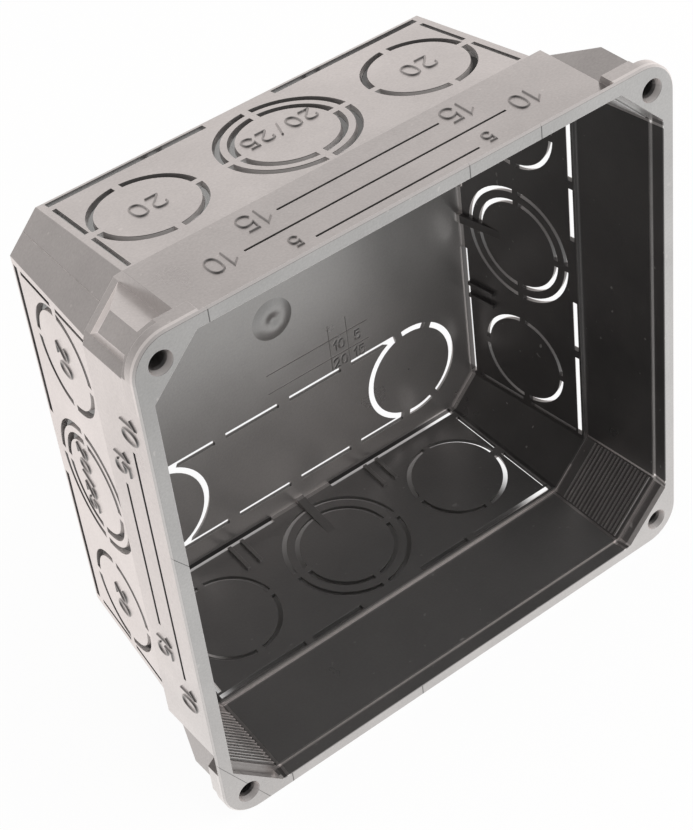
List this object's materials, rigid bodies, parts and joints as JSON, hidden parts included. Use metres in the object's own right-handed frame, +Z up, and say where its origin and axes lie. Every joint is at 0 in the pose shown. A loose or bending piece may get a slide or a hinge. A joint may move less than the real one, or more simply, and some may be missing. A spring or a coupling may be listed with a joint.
{
  "type": "flush junction box",
  "caption": "Square flush-mounting electrical junction box in black plastic, open at the front, with a wider collar, corner screw lugs and round conduit break-outs in its walls.",
  "frame": {"origin": "middle of the bounding box's lower face, under the rim's lower edge", "axes": "+Y from the open front into the wall, towards the box's back; +Z up; +X to the right when looking into the opening"},
  "size_m": [0.107, 0.05, 0.107],
  "materials": {
    "plastic": "satin moulded"
  },
  "bodies": {
    "root": {"junction_box": "plastic"}
  },
  "joints": []
}
